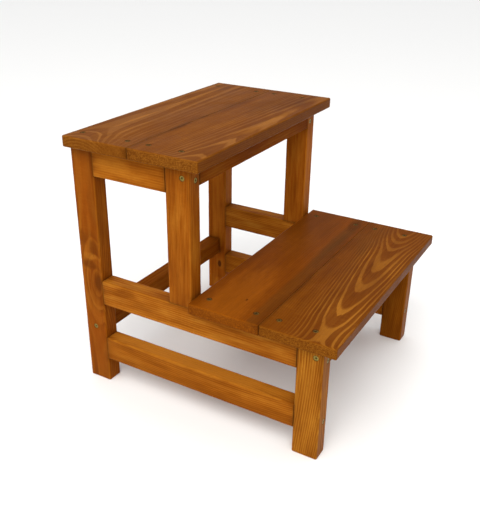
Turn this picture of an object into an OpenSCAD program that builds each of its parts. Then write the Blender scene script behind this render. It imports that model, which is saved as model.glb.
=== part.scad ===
// Two-step wooden step stool: a low step in front and a high step behind it.
// Two side frames are tied together by three cross rails and by the tread boards,
// and every joint is a plain butt joint held by a countersunk screw.
//
// Millimetres, +Z up. The origin is on the floor in the middle of the footprint.
// X runs along the treads, -Y is the front with the low step, +Y is the back.

/* [Overall] */
// Length of both treads, from side to side
tread_len = 446; // [360:1:620]
// Height of the upper tread's top above the floor
upper_h = 438; // [360:1:600]
// Height of the lower tread's top above the floor
lower_h = 214; // [180:1:270]

/* [Treads] */
// Thickness of a tread board
board_t = 18; // [14:1:26]
// Width of one tread board, two of them make a tread
board_w = 121; // [95:1:150]
// Open seam between the two boards of a tread
seam = 0.5; // [0:0.1:3]
// How far the treads stand out past the frame at each side
end_overhang = 15; // [2:1:40]
// How far the treads stand out past the frame at the front
nose_overhang = 24; // [2:1:50]
// How far the upper tread stands out past the frame at the back
back_overhang = 1; // [0:1:20]
// Gap between the lower tread and the posts behind it
post_gap = 2; // [0.5:0.5:8]

/* [Frame timber] */
// Thickness of the legs, posts and side rails, from side to side
stock_t = 28; // [18:1:45]
// Depth of a leg or post, from front to back
leg_d = 42; // [32:1:60]
// Height of the upper side aprons and the middle rails
rail_h = 44; // [34:1:60]
// Height of the lower side stretchers
stretcher_h = 42; // [24:1:50]
// Height of the three cross rails
cross_h = 33; // [24:1:40]
// Thickness of the three cross rails, from front to back
cross_t = 28; // [18:1:32]
// Height of the side stretchers' underside above the floor
stretcher_z = 45; // [20:1:60]
// Height of the rear stretcher's underside above the floor
rear_stretcher_z = 88; // [74:1:110]

/* [Softened edges] */
// Radius along the edges of the frame timber
arris_r = 2; // [0.5:0.5:5]
// Radius around the outer edges of the treads
tread_r = 2.5; // [0.5:0.5:6]
// Radius along the seam between two boards
seam_r = 0.8; // [0.2:0.2:3]
// Radius around the foot of a leg
foot_r = 1.5; // [0.5:0.5:5]

/* [Screws] */
// Diameter of a screw head
head_d = 8; // [7:0.5:11]
// Diameter of a screw shank
shank_d = 4; // [3:0.5:5]
// Depth of a head's top below the wood around it
head_sink = 0.3; // [0:0.1:1]
// Room around a shank in its hole
shank_room = 0.05; // [0.02:0.01:0.3]
// Bite of the side screws in the end of a cross rail
side_bite = 32; // [20:1:50]
// Bite of the rail screws in the end of a side rail
rail_bite = 28; // [20:1:50]
// Bite of the foot screws in the foot of a post
foot_bite = 26; // [20:1:50]
// Least wood between two screws that cross one another
screw_gap = 1.5; // [1:0.5:4]

/* [Screw places] */
// Upper tread's back screws, forward of the frame's back
upper_back_inset = 16; // [10:1:26]
// Lower tread's back screws, forward of that tread's back edge
lower_back_inset = 21; // [10:1:40]
// Screws beside a seam, away from the seam
seam_inset = 19; // [10:1:40]
// Rail screws, in from the outer face of the leg
rail_screw_in = 17; // [10:1:20]
// Rail screws in the front legs, below the middle of the rail they hold
front_screw_drop = 4; // [0:1:8]
// Side screws of the front cross rails, behind the rail's front face
front_side_in = 12; // [8:1:16]
// Side screws of the rear stretcher, forward of the frame's back
rear_side_in = 20; // [8:1:20]

/* [Hidden] */
// Round things are drawn with this many facets and count as true circles
$fn = 48;
// A cut runs this far past the face it opens
over = 1;

// Screws: a 90 degree head, a cross recess and a short point
head_h = (head_d - shank_d) / 2;
recess_len = head_d * 0.55;
recess_w = head_d * 0.12;
recess_depth = head_h * 0.7;
point_h = shank_d;
point_d = 1;
// The screws reach the surface with their heads head_sink below it
rail_screw_len = leg_d + rail_bite - head_sink;
side_screw_len = stock_t + side_bite - head_sink;
foot_screw_len = rail_h + foot_bite - head_sink;
// Heights below a side frame's top at which the screws pass one another: the rail
// screws are lowest, the side screws pass over them and the tread screws stop short
rail_screw_drop = rail_h / 2;
side_screw_drop = rail_screw_drop - shank_d - screw_gap;
tread_bite = rail_screw_drop - shank_d / 2 - 2 * screw_gap;
tread_screw_len = board_t + tread_bite - head_sink;

// Sizes across the stool
x_out = tread_len / 2 - end_overhang;
x_in = x_out - stock_t;
x_mid = x_out - stock_t / 2;
x_rail_screw = x_out - rail_screw_in;

// Sizes from back to front
tread_depth = 2 * board_w + seam;
frame_run = tread_depth - back_overhang - nose_overhang;
depth = back_overhang + frame_run + post_gap + tread_depth;
y_back = depth / 2 - back_overhang;
y_back_leg = y_back - leg_d;
y_post = y_back - frame_run;
y_post_back = y_post + leg_d;
y_lower_tread = y_post - post_gap;
y_front = nose_overhang - depth / 2;
y_front_leg = y_front + leg_d;

// Heights
z_upper = upper_h - board_t;
z_lower = lower_h - board_t;
z_apron = z_upper - rail_h;
z_middle = z_lower - rail_h;
z_front_apron = z_upper - cross_h;
z_lower_front = z_lower - cross_h;

// Screw places
upper_seam_y = y_back + back_overhang - board_w - seam / 2;
lower_seam_y = y_lower_tread - board_w - seam / 2;
upper_screw_ys = [
    y_back - upper_back_inset,
    upper_seam_y + seam_inset,
    upper_seam_y - seam_inset,
    y_post + leg_d / 2
];
lower_screw_ys = [
    y_lower_tread - lower_back_inset,
    lower_seam_y + seam_inset,
    lower_seam_y - seam_inset,
    y_front + leg_d / 2
];
rear_screw_zs = [
    z_upper - rail_screw_drop,
    z_lower - rail_screw_drop,
    stretcher_z + stretcher_h / 2
];
front_screw_zs = [
    z_lower - rail_screw_drop - front_screw_drop,
    stretcher_z + stretcher_h / 2 - front_screw_drop
];

// ---- outlines ----

// The sharp corner that a rounding of radius r takes off, with its tip at the origin.
// A radius of 0 leaves the corner sharp.
module corner_chip(r) {
    if (r > 0)
        difference() {
            translate([-over, -over])
                square(r + over);
            translate([r, r])
                circle(r);
        }
}

// A w by h rectangle whose corners have the radii in r, anticlockwise from the origin
module soft_rect(w, h, r) {
    difference() {
        square([w, h]);
        corner_chip(r[0]);
        translate([w, 0])
            mirror([1, 0])
                corner_chip(r[1]);
        translate([w, h])
            rotate(180)
                corner_chip(r[2]);
        translate([0, h])
            mirror([0, 1])
                corner_chip(r[3]);
    }
}

// ---- bars with softened edges, each with a corner at the origin ----

module bar_x(size, r) {
    rotate([90, 0, 90])
        linear_extrude(size.x)
            soft_rect(size.y, size.z, r);
}

module bar_y(size, r) {
    translate([0, size.y, 0])
        rotate([90, 0, 0])
            linear_extrude(size.y)
                soft_rect(size.x, size.z, r);
}

module bar_z(size, r) {
    linear_extrude(size.z)
        soft_rect(size.x, size.y, r);
}

function even(r) = [r, r, r, r];

// A tread board. back_r and front_r round its back and front edges.
module board(back_r, front_r) {
    size = [tread_len, board_w, board_t];
    intersection() {
        bar_x(size, [front_r, back_r, back_r, front_r]);
        bar_y(size, even(tread_r));
        bar_z(size, [front_r, front_r, back_r, back_r]);
    }
}

// An upright that stands on the floor, with a softened foot and a square top
module standing_leg(height) {
    size = [stock_t, leg_d, height];
    foot = [foot_r, foot_r, 0, 0];
    intersection() {
        bar_z(size, even(arris_r));
        bar_x(size, foot);
        bar_y(size, foot);
    }
}

// ---- screws, with the head's top at the origin and the shank running down -Z ----

module screw(len) {
    difference() {
        union() {
            translate([0, 0, -head_h])
                cylinder(h = head_h, d1 = shank_d, d2 = head_d);
            translate([0, 0, point_h - len])
                cylinder(h = len - point_h - head_h, d = shank_d);
            translate([0, 0, -len])
                cylinder(h = point_h, d1 = point_d, d2 = shank_d);
        }
        for (turn = [0, 90])
            rotate(turn)
                translate([-recess_len / 2, -recess_w / 2, -recess_depth])
                    cube([recess_len, recess_w, recess_depth + over]);
    }
}

module screw_hole(len) {
    translate([0, 0, -head_h])
        cylinder(h = head_h, d1 = shank_d, d2 = head_d);
    cylinder(h = head_sink + over, d = head_d);
    translate([0, 0, -len - shank_room])
        cylinder(h = len, d = shank_d + 2 * shank_room);
}

// ---- where the screws sit; the child is the screw or its hole ----

module upper_tread_places() {
    for (x = [-x_mid, x_mid], y = upper_screw_ys)
        translate([x, y, upper_h - head_sink])
            children();
}

module lower_tread_places() {
    for (x = [-x_mid, x_mid], y = lower_screw_ys)
        translate([x, y, lower_h - head_sink])
            children();
}

module rear_leg_places() {
    for (x = [-x_rail_screw, x_rail_screw], z = rear_screw_zs)
        translate([x, y_back - head_sink, z])
            rotate([-90, 0, 0])
                children();
}

module post_places() {
    for (x = [-x_rail_screw, x_rail_screw])
        translate([x, y_post + head_sink, z_upper - rail_screw_drop])
            rotate([90, 0, 0])
                children();
}

module front_leg_places() {
    for (x = [-x_rail_screw, x_rail_screw], z = front_screw_zs)
        translate([x, y_front + head_sink, z])
            rotate([90, 0, 0])
                children();
}

module cross_rail_places() {
    spots = [
        [y_post + front_side_in, z_upper - side_screw_drop],
        [y_front + front_side_in, z_lower - side_screw_drop],
        [y_back - rear_side_in, rear_stretcher_z + cross_h / 2]
    ];
    for (side = [-1, 1], spot = spots)
        translate([side * (x_out - head_sink), spot[0], spot[1]])
            rotate([0, side * 90, 0])
                children();
}

module post_foot_places() {
    for (x = [-x_mid, x_mid])
        translate([x, y_post + leg_d / 2, z_middle + head_sink])
            rotate([180, 0, 0])
                children();
}

// ---- treads ----

module upper_tread_back_board() {
    color("chocolate")
        difference() {
            translate([-tread_len / 2, upper_seam_y + seam / 2, z_upper])
                board(tread_r, seam_r);
            upper_tread_places()
                screw_hole(tread_screw_len);
        }
}

module upper_tread_front_board() {
    color("chocolate")
        difference() {
            translate([-tread_len / 2, upper_seam_y - seam / 2 - board_w, z_upper])
                board(seam_r, tread_r);
            upper_tread_places()
                screw_hole(tread_screw_len);
        }
}

module lower_tread_back_board() {
    color("chocolate")
        difference() {
            translate([-tread_len / 2, lower_seam_y + seam / 2, z_lower])
                board(tread_r, seam_r);
            lower_tread_places()
                screw_hole(tread_screw_len);
        }
}

module lower_tread_front_board() {
    color("chocolate")
        difference() {
            translate([-tread_len / 2, lower_seam_y - seam / 2 - board_w, z_lower])
                board(seam_r, tread_r);
            lower_tread_places()
                screw_hole(tread_screw_len);
        }
}

// ---- uprights, drawn on the +X side; the left ones are their mirror images ----

module rear_leg() {
    difference() {
        translate([x_in, y_back_leg, 0])
            standing_leg(z_upper);
        upper_tread_places()
            screw_hole(tread_screw_len);
        rear_leg_places()
            screw_hole(rail_screw_len);
        cross_rail_places()
            screw_hole(side_screw_len);
    }
}

module upper_post() {
    difference() {
        translate([x_in, y_post, z_lower])
            bar_z([stock_t, leg_d, z_upper - z_lower], even(arris_r));
        upper_tread_places()
            screw_hole(tread_screw_len);
        post_places()
            screw_hole(rail_screw_len);
        cross_rail_places()
            screw_hole(side_screw_len);
        post_foot_places()
            screw_hole(foot_screw_len);
    }
}

module front_leg() {
    difference() {
        translate([x_in, y_front, 0])
            standing_leg(z_lower);
        lower_tread_places()
            screw_hole(tread_screw_len);
        front_leg_places()
            screw_hole(rail_screw_len);
        cross_rail_places()
            screw_hole(side_screw_len);
    }
}

module rear_leg_left() {
    color("peru")
        mirror([1, 0, 0])
            rear_leg();
}

module rear_leg_right() {
    color("peru")
        rear_leg();
}

module upper_post_left() {
    color("peru")
        mirror([1, 0, 0])
            upper_post();
}

module upper_post_right() {
    color("peru")
        upper_post();
}

module front_leg_left() {
    color("peru")
        mirror([1, 0, 0])
            front_leg();
}

module front_leg_right() {
    color("peru")
        front_leg();
}

// ---- side rails, drawn on the +X side ----

module upper_side_apron() {
    difference() {
        translate([x_in, y_post_back, z_apron])
            bar_y([stock_t, y_back_leg - y_post_back, rail_h], even(arris_r));
        upper_tread_places()
            screw_hole(tread_screw_len);
        rear_leg_places()
            screw_hole(rail_screw_len);
        post_places()
            screw_hole(rail_screw_len);
    }
}

module middle_rail() {
    difference() {
        translate([x_in, y_front_leg, z_middle])
            bar_y([stock_t, y_back_leg - y_front_leg, rail_h], even(arris_r));
        lower_tread_places()
            screw_hole(tread_screw_len);
        rear_leg_places()
            screw_hole(rail_screw_len);
        front_leg_places()
            screw_hole(rail_screw_len);
        post_foot_places()
            screw_hole(foot_screw_len);
    }
}

module lower_stretcher() {
    difference() {
        translate([x_in, y_front_leg, stretcher_z])
            bar_y([stock_t, y_back_leg - y_front_leg, stretcher_h], even(arris_r));
        rear_leg_places()
            screw_hole(rail_screw_len);
        front_leg_places()
            screw_hole(rail_screw_len);
    }
}

module upper_side_apron_left() {
    color("sandybrown")
        mirror([1, 0, 0])
            upper_side_apron();
}

module upper_side_apron_right() {
    color("sandybrown")
        upper_side_apron();
}

module middle_rail_left() {
    color("sandybrown")
        mirror([1, 0, 0])
            middle_rail();
}

module middle_rail_right() {
    color("sandybrown")
        middle_rail();
}

module lower_stretcher_left() {
    color("sandybrown")
        mirror([1, 0, 0])
            lower_stretcher();
}

module lower_stretcher_right() {
    color("sandybrown")
        lower_stretcher();
}

// ---- cross rails, from one side frame to the other ----

// A cross rail with its front face at y and its underside at z
module cross_rail(y, z) {
    difference() {
        translate([-x_in, y, z])
            bar_x([2 * x_in, cross_t, cross_h], even(arris_r));
        cross_rail_places()
            screw_hole(side_screw_len);
    }
}

module upper_front_apron() {
    color("sienna")
        cross_rail(y_post, z_front_apron);
}

module lower_front_rail() {
    color("sienna")
        cross_rail(y_front, z_lower_front);
}

module rear_stretcher() {
    color("sienna")
        cross_rail(y_back - cross_t, rear_stretcher_z);
}

// ---- screws ----

module upper_tread_screws() {
    color("goldenrod")
        upper_tread_places()
            screw(tread_screw_len);
}

module lower_tread_screws() {
    color("goldenrod")
        lower_tread_places()
            screw(tread_screw_len);
}

module rear_leg_screws() {
    color("goldenrod")
        rear_leg_places()
            screw(rail_screw_len);
}

module post_screws() {
    color("goldenrod")
        post_places()
            screw(rail_screw_len);
}

module front_leg_screws() {
    color("goldenrod")
        front_leg_places()
            screw(rail_screw_len);
}

module cross_rail_screws() {
    color("goldenrod")
        cross_rail_places()
            screw(side_screw_len);
}

module post_foot_screws() {
    color("goldenrod")
        post_foot_places()
            screw(foot_screw_len);
}

upper_tread_back_board();
upper_tread_front_board();
lower_tread_back_board();
lower_tread_front_board();
rear_leg_left();
rear_leg_right();
upper_post_left();
upper_post_right();
front_leg_left();
front_leg_right();
upper_side_apron_left();
upper_side_apron_right();
middle_rail_left();
middle_rail_right();
lower_stretcher_left();
lower_stretcher_right();
upper_front_apron();
lower_front_rail();
rear_stretcher();
upper_tread_screws();
lower_tread_screws();
rear_leg_screws();
post_screws();
front_leg_screws();
cross_rail_screws();
post_foot_screws();
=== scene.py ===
"""Two-step wooden step stool in stained pine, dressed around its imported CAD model.

Every timber is a closed skin worked out on a grid: a rounded cross-section carried
along the grain, with a countersunk seat wherever a screw enters it. Every screw is a
turned shape with a cross recess and a rolled thread. All places come from the CAD
model's own boxes, so a piece lies where the CAD node that it stands for lies.

Axes: metres, +Z up, X along the treads, -Y the front with the low step.
"""

from __future__ import annotations

import logging
import math
from collections.abc import Callable, Iterable, Sequence
from dataclasses import dataclass, field, replace
from enum import Enum
from typing import Union

import bpy
import numpy as np
from mathutils import Matrix, Vector


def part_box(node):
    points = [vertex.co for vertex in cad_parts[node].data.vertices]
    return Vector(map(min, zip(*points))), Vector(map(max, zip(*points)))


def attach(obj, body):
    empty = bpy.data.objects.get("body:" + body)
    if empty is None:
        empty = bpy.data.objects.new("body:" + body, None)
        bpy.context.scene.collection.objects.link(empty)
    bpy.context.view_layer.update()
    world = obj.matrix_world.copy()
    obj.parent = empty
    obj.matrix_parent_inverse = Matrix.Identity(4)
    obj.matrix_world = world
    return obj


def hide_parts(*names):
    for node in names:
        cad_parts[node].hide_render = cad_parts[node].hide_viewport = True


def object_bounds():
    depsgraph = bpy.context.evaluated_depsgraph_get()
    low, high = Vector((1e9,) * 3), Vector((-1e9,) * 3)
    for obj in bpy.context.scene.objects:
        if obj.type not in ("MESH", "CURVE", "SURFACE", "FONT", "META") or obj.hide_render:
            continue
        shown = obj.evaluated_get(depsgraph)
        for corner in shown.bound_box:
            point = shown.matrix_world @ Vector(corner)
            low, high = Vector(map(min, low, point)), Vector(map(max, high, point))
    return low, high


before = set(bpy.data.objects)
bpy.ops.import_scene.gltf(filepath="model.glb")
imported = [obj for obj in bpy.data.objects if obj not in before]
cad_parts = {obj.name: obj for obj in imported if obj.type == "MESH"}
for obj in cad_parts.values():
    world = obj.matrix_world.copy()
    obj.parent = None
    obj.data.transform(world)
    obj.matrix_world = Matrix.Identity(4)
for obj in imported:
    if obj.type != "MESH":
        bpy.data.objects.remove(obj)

CAD_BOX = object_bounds()
LOG = logging.getLogger("step_stool")

MM = 0.001
QUARTER = math.pi / 2.0
ROOT_BODY = "root"

Array = np.ndarray
Triple = tuple[float, float, float]
Colour = tuple[float, float, float, float]
Value = Union["Wire", float, Sequence[float]]


# ---- Node trees ----


@dataclass(frozen=True)
class Wire:
    """An output in a node tree. Sums and products of wires become Math nodes."""

    sketch: Sketch
    socket: bpy.types.NodeSocket

    def __add__(self, other: Value) -> Wire:
        """Adds a value."""
        return self.sketch.math("ADD", self, other)

    def __sub__(self, other: Value) -> Wire:
        """Takes a value away."""
        return self.sketch.math("SUBTRACT", self, other)

    def __rsub__(self, other: float) -> Wire:
        """Takes the wire away from a number."""
        return self.sketch.math("SUBTRACT", other, self)

    def __mul__(self, other: Value) -> Wire:
        """Multiplies by a value."""
        return self.sketch.math("MULTIPLY", self, other)

    def __truediv__(self, other: Value) -> Wire:
        """Divides by a value."""
        return self.sketch.math("DIVIDE", self, other)


@dataclass
class Sketch:
    """Short ways to add and join the nodes of one tree."""

    tree: bpy.types.NodeTree

    def feed(self, socket: bpy.types.NodeSocket, value: Value) -> None:
        """Joins a wire to a socket, or sets the socket's own value.

        Args:
            socket: the input to feed.
            value: a wire, or what the socket is set to.
        """
        if isinstance(value, Wire):
            self.tree.links.new(value.socket, socket)
        else:
            socket.default_value = value

    def fill(self, node: bpy.types.Node, **values: Value) -> None:
        """Feeds a node's inputs by their names, with _ for a space."""
        for key, value in values.items():
            self.feed(node.inputs[key.replace("_", " ")], value)

    def add(self, kind: str, *values: Value, **settings: object) -> bpy.types.Node:
        """Adds a node.

        Args:
            kind: the node's type name.
            values: a value for each of its first inputs.
            settings: property names and their values.

        Returns:
            The new node.
        """
        node = self.tree.nodes.new(kind)
        for name, setting in settings.items():
            setattr(node, name, setting)
        for socket, value in zip(node.inputs, values):
            self.feed(socket, value)
        return node

    def math(self, operation: str, *values: Value, clamp: bool = False) -> Wire:
        """Adds a Math node for an operation such as "ADD", and gives its result."""
        node = self.add("ShaderNodeMath", *values, operation=operation, use_clamp=clamp)
        return Wire(self, node.outputs[0])

    def vector(self, operation: str, first: Value, second: Value | None = None) -> Wire:
        """Adds a Vector Math node.

        Args:
            operation: such as "ADD".
            first: the first vector.
            second: the second vector, or the number to scale by.

        Returns:
            The result, which is a number for a length and a vector for all else.
        """
        node = self.add("ShaderNodeVectorMath", first, operation=operation)
        if second is not None:
            self.feed(node.inputs["Scale" if operation == "SCALE" else 1], second)
        return Wire(self, node.outputs["Value" if operation == "LENGTH" else "Vector"])

    def step(self, value: Value, start: float, end: float, low: float = 0.0,
             high: float = 1.0) -> Wire:
        """Adds a smooth step.

        Args:
            value: what is compared.
            start: the value at which the step begins.
            end: the value at which it ends.
            low: the result before the step.
            high: the result after the step.

        Returns:
            The result.
        """
        node = self.add("ShaderNodeMapRange", value, start, end, low, high,
                        interpolation_type="SMOOTHSTEP")
        return Wire(self, node.outputs[0])

    def noise(self, place: Wire, waves: Triple, seed: Value, detail: float = 2.0,
              roughness: float = 0.5, output: int = 0) -> Wire:
        """Adds a noise.

        Args:
            place: where it is read.
            waves: waves to a metre along each axis.
            seed: the fourth coordinate, which gives each piece its own noise.
            detail: how many finer layers it has.
            roughness: how strong the finer layers are.
            output: 0 for one number, 1 for three numbers as a colour.

        Returns:
            The noise.
        """
        node = self.add("ShaderNodeTexNoise", noise_dimensions="4D")
        self.fill(node, Vector=self.vector("MULTIPLY", place, waves), W=seed, Scale=1.0,
                  Detail=detail, Roughness=roughness)
        return Wire(self, node.outputs[output])

    def mix(self, share: Value, first: Value, second: Value) -> Wire:
        """Mixes two colours.

        Args:
            share: 0 gives the first, 1 the second.
            first: the first colour.
            second: the second colour.

        Returns:
            The mixed colour.
        """
        node = self.add("ShaderNodeMix", data_type="RGBA", clamp_factor=True)
        for number, value in ((0, share), (6, first), (7, second)):
            self.feed(node.inputs[number], value)
        return Wire(self, node.outputs[2])

    def split(self, vector: Wire) -> list[Wire]:
        """Gives the three parts of a vector."""
        return [Wire(self, part) for part in self.add("ShaderNodeSeparateXYZ", vector).outputs]

    def join(self, first: Value, second: Value) -> Wire:
        """Makes a vector of two numbers and 0."""
        return Wire(self, self.add("ShaderNodeCombineXYZ", first, second).outputs[0])

    def attribute(self, name: str) -> Wire:
        """Reads one of the mesh's own named values."""
        return Wire(self, self.add("ShaderNodeAttribute", attribute_name=name).outputs["Fac"])

    def bump(self, height: Wire, strength: float, distance: float) -> Wire:
        """Adds a Bump node.

        Args:
            height: the relief's height, from 0 to about 1.
            strength: how strongly it shows.
            distance: how far a height of 1 stands out.

        Returns:
            The bent normal.
        """
        node = self.add("ShaderNodeBump")
        self.fill(node, Height=height, Strength=strength, Distance=distance)
        return Wire(self, node.outputs[0])


@dataclass
class Group(Sketch):
    """The tree of a shared effect. Its sockets are read and fed by their names."""

    def __post_init__(self) -> None:
        """Adds the nodes that stand for the group's own sockets."""
        self.into, self.out = self.add("NodeGroupInput"), self.add("NodeGroupOutput")

    def __getitem__(self, name: str) -> Wire:
        """Reads one of the group's inputs."""
        return Wire(self, self.into.outputs[name])

    def __setitem__(self, name: str, value: Wire) -> None:
        """Feeds one of the group's outputs."""
        self.feed(self.out.inputs[name], value)


def start_material(name: str) -> tuple[bpy.types.Material, Sketch, bpy.types.Node]:
    """Starts a material.

    Args:
        name: the material's name.

    Returns:
        The material, a sketch of its tree and its Principled shader.
    """
    material = bpy.data.materials.new(name)
    material.use_nodes = True
    sketch = Sketch(material.node_tree)
    sketch.tree.nodes.clear()
    shader = sketch.add("ShaderNodeBsdfPrincipled")
    sketch.add("ShaderNodeOutputMaterial", Wire(sketch, shader.outputs[0]))
    return material, sketch, shader


# ---- Effects that several finishes share ----


class Effect(Enum):
    """The shared effects, each with its vector inputs, number inputs and outputs."""

    GROWTH_RINGS = (
        ("Place", "Knot Place"),
        ("Pith Across", "Pith Depth", "Ring Width", "Wander", "Ripple", "Knot Reach",
         "Knot Push", "Knot Core", "Fade", "Seed"),
        ("Late Wood", "Ring Line", "Ring Tone", "Broad Tone", "Knot", "Shown"))
    WOOD_FIBRES = (("Place",), ("Seed",),
                   ("Streak", "Brush", "Curl", "Fibre", "Duct", "Speckle", "Blotch"))
    BAR_EDGES = (("Place", "Half Size"), ("Seed", "Wear Width"), ("Wear",))
    STAIN_PATCH = (("Place", "Middle", "Half Size"), ("Seed",), ("Mask",))
    HANDLING = (("Place",), ("Seed",), ("Smear", "Dust"))


def growth_rings(group: Group) -> None:
    """Builds the yearly rings of the trunk that a timber was sawn from.

    The distance from the pith, divided by the width of a ring, counts the rings. It
    wanders slowly along the grain, and near a knot it is pushed outwards by a bell
    curve, so the rings flow round the knot. Within a ring the soft early wood comes
    first and the hard late wood after it, and the ring ends sharply.

    Args:
        group: the group to fill.
    """
    place, seed = group["Place"], group["Seed"]
    sway = group.noise(place, (3.0, 11.0, 11.0), seed, 1.5, output=1)
    sway = group.vector("SUBTRACT", sway, (0.5, 0.5, 0.5))
    swayed = group.vector("ADD", place, group.vector("SCALE", sway, group["Wander"]))
    along, across, depth = group.split(swayed)
    across, depth = across - group["Pith Across"], depth - group["Pith Depth"]
    radius = group.math("SQRT", across * across + depth * depth)
    off_line = group.math("ABSOLUTE", across) / group["Fade"]
    group["Shown"] = group.step(off_line, 0.45, 1.0, 1.0, 0.2)
    ripple = (group.noise(place, (22.0, 170.0, 170.0), seed) - 0.5) * group["Ripple"]

    off = group.vector("SUBTRACT", place, group["Knot Place"])
    away = group.vector("LENGTH", group.vector("MULTIPLY", off, (0.55, 1.0, 1.0)))
    reach = away / group["Knot Reach"]
    bell = group.math("EXPONENT", reach * reach * -1.0)
    pushed = radius + ripple + bell * group["Knot Push"]
    group["Knot"] = group.step(away / group["Knot Core"], 0.7, 1.15, 1.0, 0.0)

    count = pushed / group["Ring Width"]
    year = group.math("FLOOR", count)
    age = count - year
    dice = group.add("ShaderNodeTexWhiteNoise", noise_dimensions="2D")
    group.fill(dice, Vector=group.join(year, seed))
    luck = Wire(group, dice.outputs["Value"])
    rise = group.math("DIVIDE", age - (luck * 0.25 + 0.42), 0.16, clamp=True)
    group["Late Wood"] = group.step(rise, 0.0, 1.0) * group.step(age, 0.95, 0.995, 1.0, 0.0)
    group["Ring Line"] = group.step(age, 0.0, 0.05) * group.step(age, 0.05, 0.4, 1.0, 0.0)
    group["Ring Tone"] = luck
    group["Broad Tone"] = group.noise(group.join(pushed * 70.0, along * 1.5),
                                      (1.0, 1.0, 1.0), seed, 1.0)


def wood_fibres(group: Group) -> None:
    """Builds what is finer than a ring: fibres, resin ducts and cut end grain.

    Each is a noise with far more waves across the grain than along it, so a feature is
    many times as long as it is wide, and shows as a speckle where the grain is cut.

    Args:
        group: the group to fill.
    """
    for name, along, cross, detail, roughness in (
            ("Streak", 9.0, 300.0, 2.0, 0.55), ("Brush", 12.0, 75.0, 2.0, 0.55),
            ("Curl", 330.0, 55.0, 1.0, 0.55), ("Fibre", 45.0, 1500.0, 2.0, 0.6),
            ("Duct", 110.0, 1900.0, 0.0, 0.55), ("Speckle", 405.0, 580.0, 4.0, 0.72),
            ("Blotch", 9.0, 22.0, 2.0, 0.55)):
        mark = group.noise(group["Place"], (along, cross, cross), group["Seed"], detail,
                           roughness)
        group[name] = group.step(mark, 0.68, 0.76) if name == "Duct" else mark


def bar_edges(group: Group) -> None:
    """Builds the wear along the edges of a squared bar: rubbed stain and a painted
    highlight on the rounded arrises.

    On a face of the bar one of the three distances to its walls is nothing, so the
    middle one of the three is the distance to the nearest edge. The wear fades with
    that distance over a width that a noise makes uneven.

    Args:
        group: the group to fill.
    """
    room = group.vector("SUBTRACT", group["Half Size"],
                        group.vector("ABSOLUTE", group["Place"]))
    end, side, top = group.split(room)
    low, high = group.math("MINIMUM", side, top), group.math("MAXIMUM", side, top)
    nearest = group.math("MAXIMUM", low, group.math("MINIMUM", high, end))
    uneven = group.noise(group["Place"], (60.0, 60.0, 60.0), group["Seed"], 3.0, 0.6)
    width = group["Wear Width"] * (uneven * 2.0)
    group["Wear"] = group.math("SUBTRACT", 1.0, nearest / width, clamp=True)


def stain_patch(group: Group) -> None:
    """Builds a soft-edged patch where the stain took more or less.

    The distance from the patch's middle, with each axis divided by the patch's half
    size there, is ruffled by a noise drawn out along the grain. The patch fades out
    where that distance nears 1.

    Args:
        group: the group to fill.
    """
    off = group.vector("SUBTRACT", group["Place"], group["Middle"])
    away = group.vector("LENGTH", group.vector("DIVIDE", off, group["Half Size"]))
    ruffle = group.noise(group["Place"], (28.0, 150.0, 150.0), group["Seed"], 3.0, 0.6)
    group["Mask"] = group.step(away + (ruffle - 0.5) * 0.9, 0.45, 1.1, 1.0, 0.0)


def handling(group: Group) -> None:
    """Builds the uneven sheen and the grit that hands, feet and cloths leave.

    Args:
        group: the group to fill.
    """
    place, seed = group["Place"], group["Seed"]
    group["Smear"] = group.noise(place, (14.0, 22.0, 22.0), seed, 3.0, 0.6)
    grit = group.noise(place, (900.0, 900.0, 900.0), seed, 1.0)
    patch = group.noise(place, (30.0, 30.0, 30.0), seed)
    group["Dust"] = group.step(grit, 0.66, 0.74) * group.step(patch, 0.45, 0.7)


BUILDERS: dict[Effect, Callable[[Group], None]] = {
    Effect.GROWTH_RINGS: growth_rings, Effect.WOOD_FIBRES: wood_fibres,
    Effect.BAR_EDGES: bar_edges, Effect.STAIN_PATCH: stain_patch, Effect.HANDLING: handling}


@dataclass
class Effects:
    """The shared node groups, each built the first time that a finish asks for it."""

    made: dict[Effect, bpy.types.NodeTree] = field(default_factory=dict)

    def place(self, sketch: Sketch, effect: Effect, **values: Value) -> dict[str, Wire]:
        """Puts a shared effect into a tree.

        Args:
            sketch: the tree that uses it.
            effect: which effect.
            values: a value for each input, with _ for a space in its name.

        Returns:
            Its outputs by their names.
        """
        if effect not in self.made:
            self.made[effect] = self._build(effect)
        node = sketch.add("ShaderNodeGroup", node_tree=self.made[effect])
        sketch.fill(node, **values)
        return {socket.name: Wire(sketch, socket) for socket in node.outputs}

    @staticmethod
    def _build(effect: Effect) -> bpy.types.NodeTree:
        """Builds a shared effect's node group.

        Args:
            effect: which effect.

        Returns:
            The group's tree.
        """
        tree = bpy.data.node_groups.new(effect.name.capitalize().replace("_", " "),
                                        "ShaderNodeTree")
        kinds = (("INPUT", "NodeSocketVector"), ("INPUT", "NodeSocketFloat"),
                 ("OUTPUT", "NodeSocketFloat"))
        for names, (side, kind) in zip(effect.value, kinds):
            for name in names:
                tree.interface.new_socket(name, in_out=side, socket_type=kind)
        BUILDERS[effect](Group(tree))
        return tree


# ---- Where a timber was sawn from its log ----


class Grain(Enum):
    """The way in which a timber's grain runs, as its own three axes.

    The rows are the timber's length, its first cross axis and its second cross axis.
    """

    ALONG_X = ((1, 0, 0), (0, 1, 0), (0, 0, 1))
    ALONG_Y = ((0, 1, 0), (-1, 0, 0), (0, 0, 1))
    ALONG_Z = ((0, 0, 1), (0, 1, 0), (-1, 0, 0))

    def axes(self) -> Array:
        """Gives the three axes as the rows of an array."""
        return np.array(self.value, float)

    def turn(self) -> Triple:
        """Gives the turn that lays the X axis along the grain."""
        return tuple(Matrix(self.value).transposed().to_euler())

    def normal_axis(self) -> int:
        """Gives the number of the world axis that the grain runs along."""
        return int(np.argmax(np.abs(self.value[0])))


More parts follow.
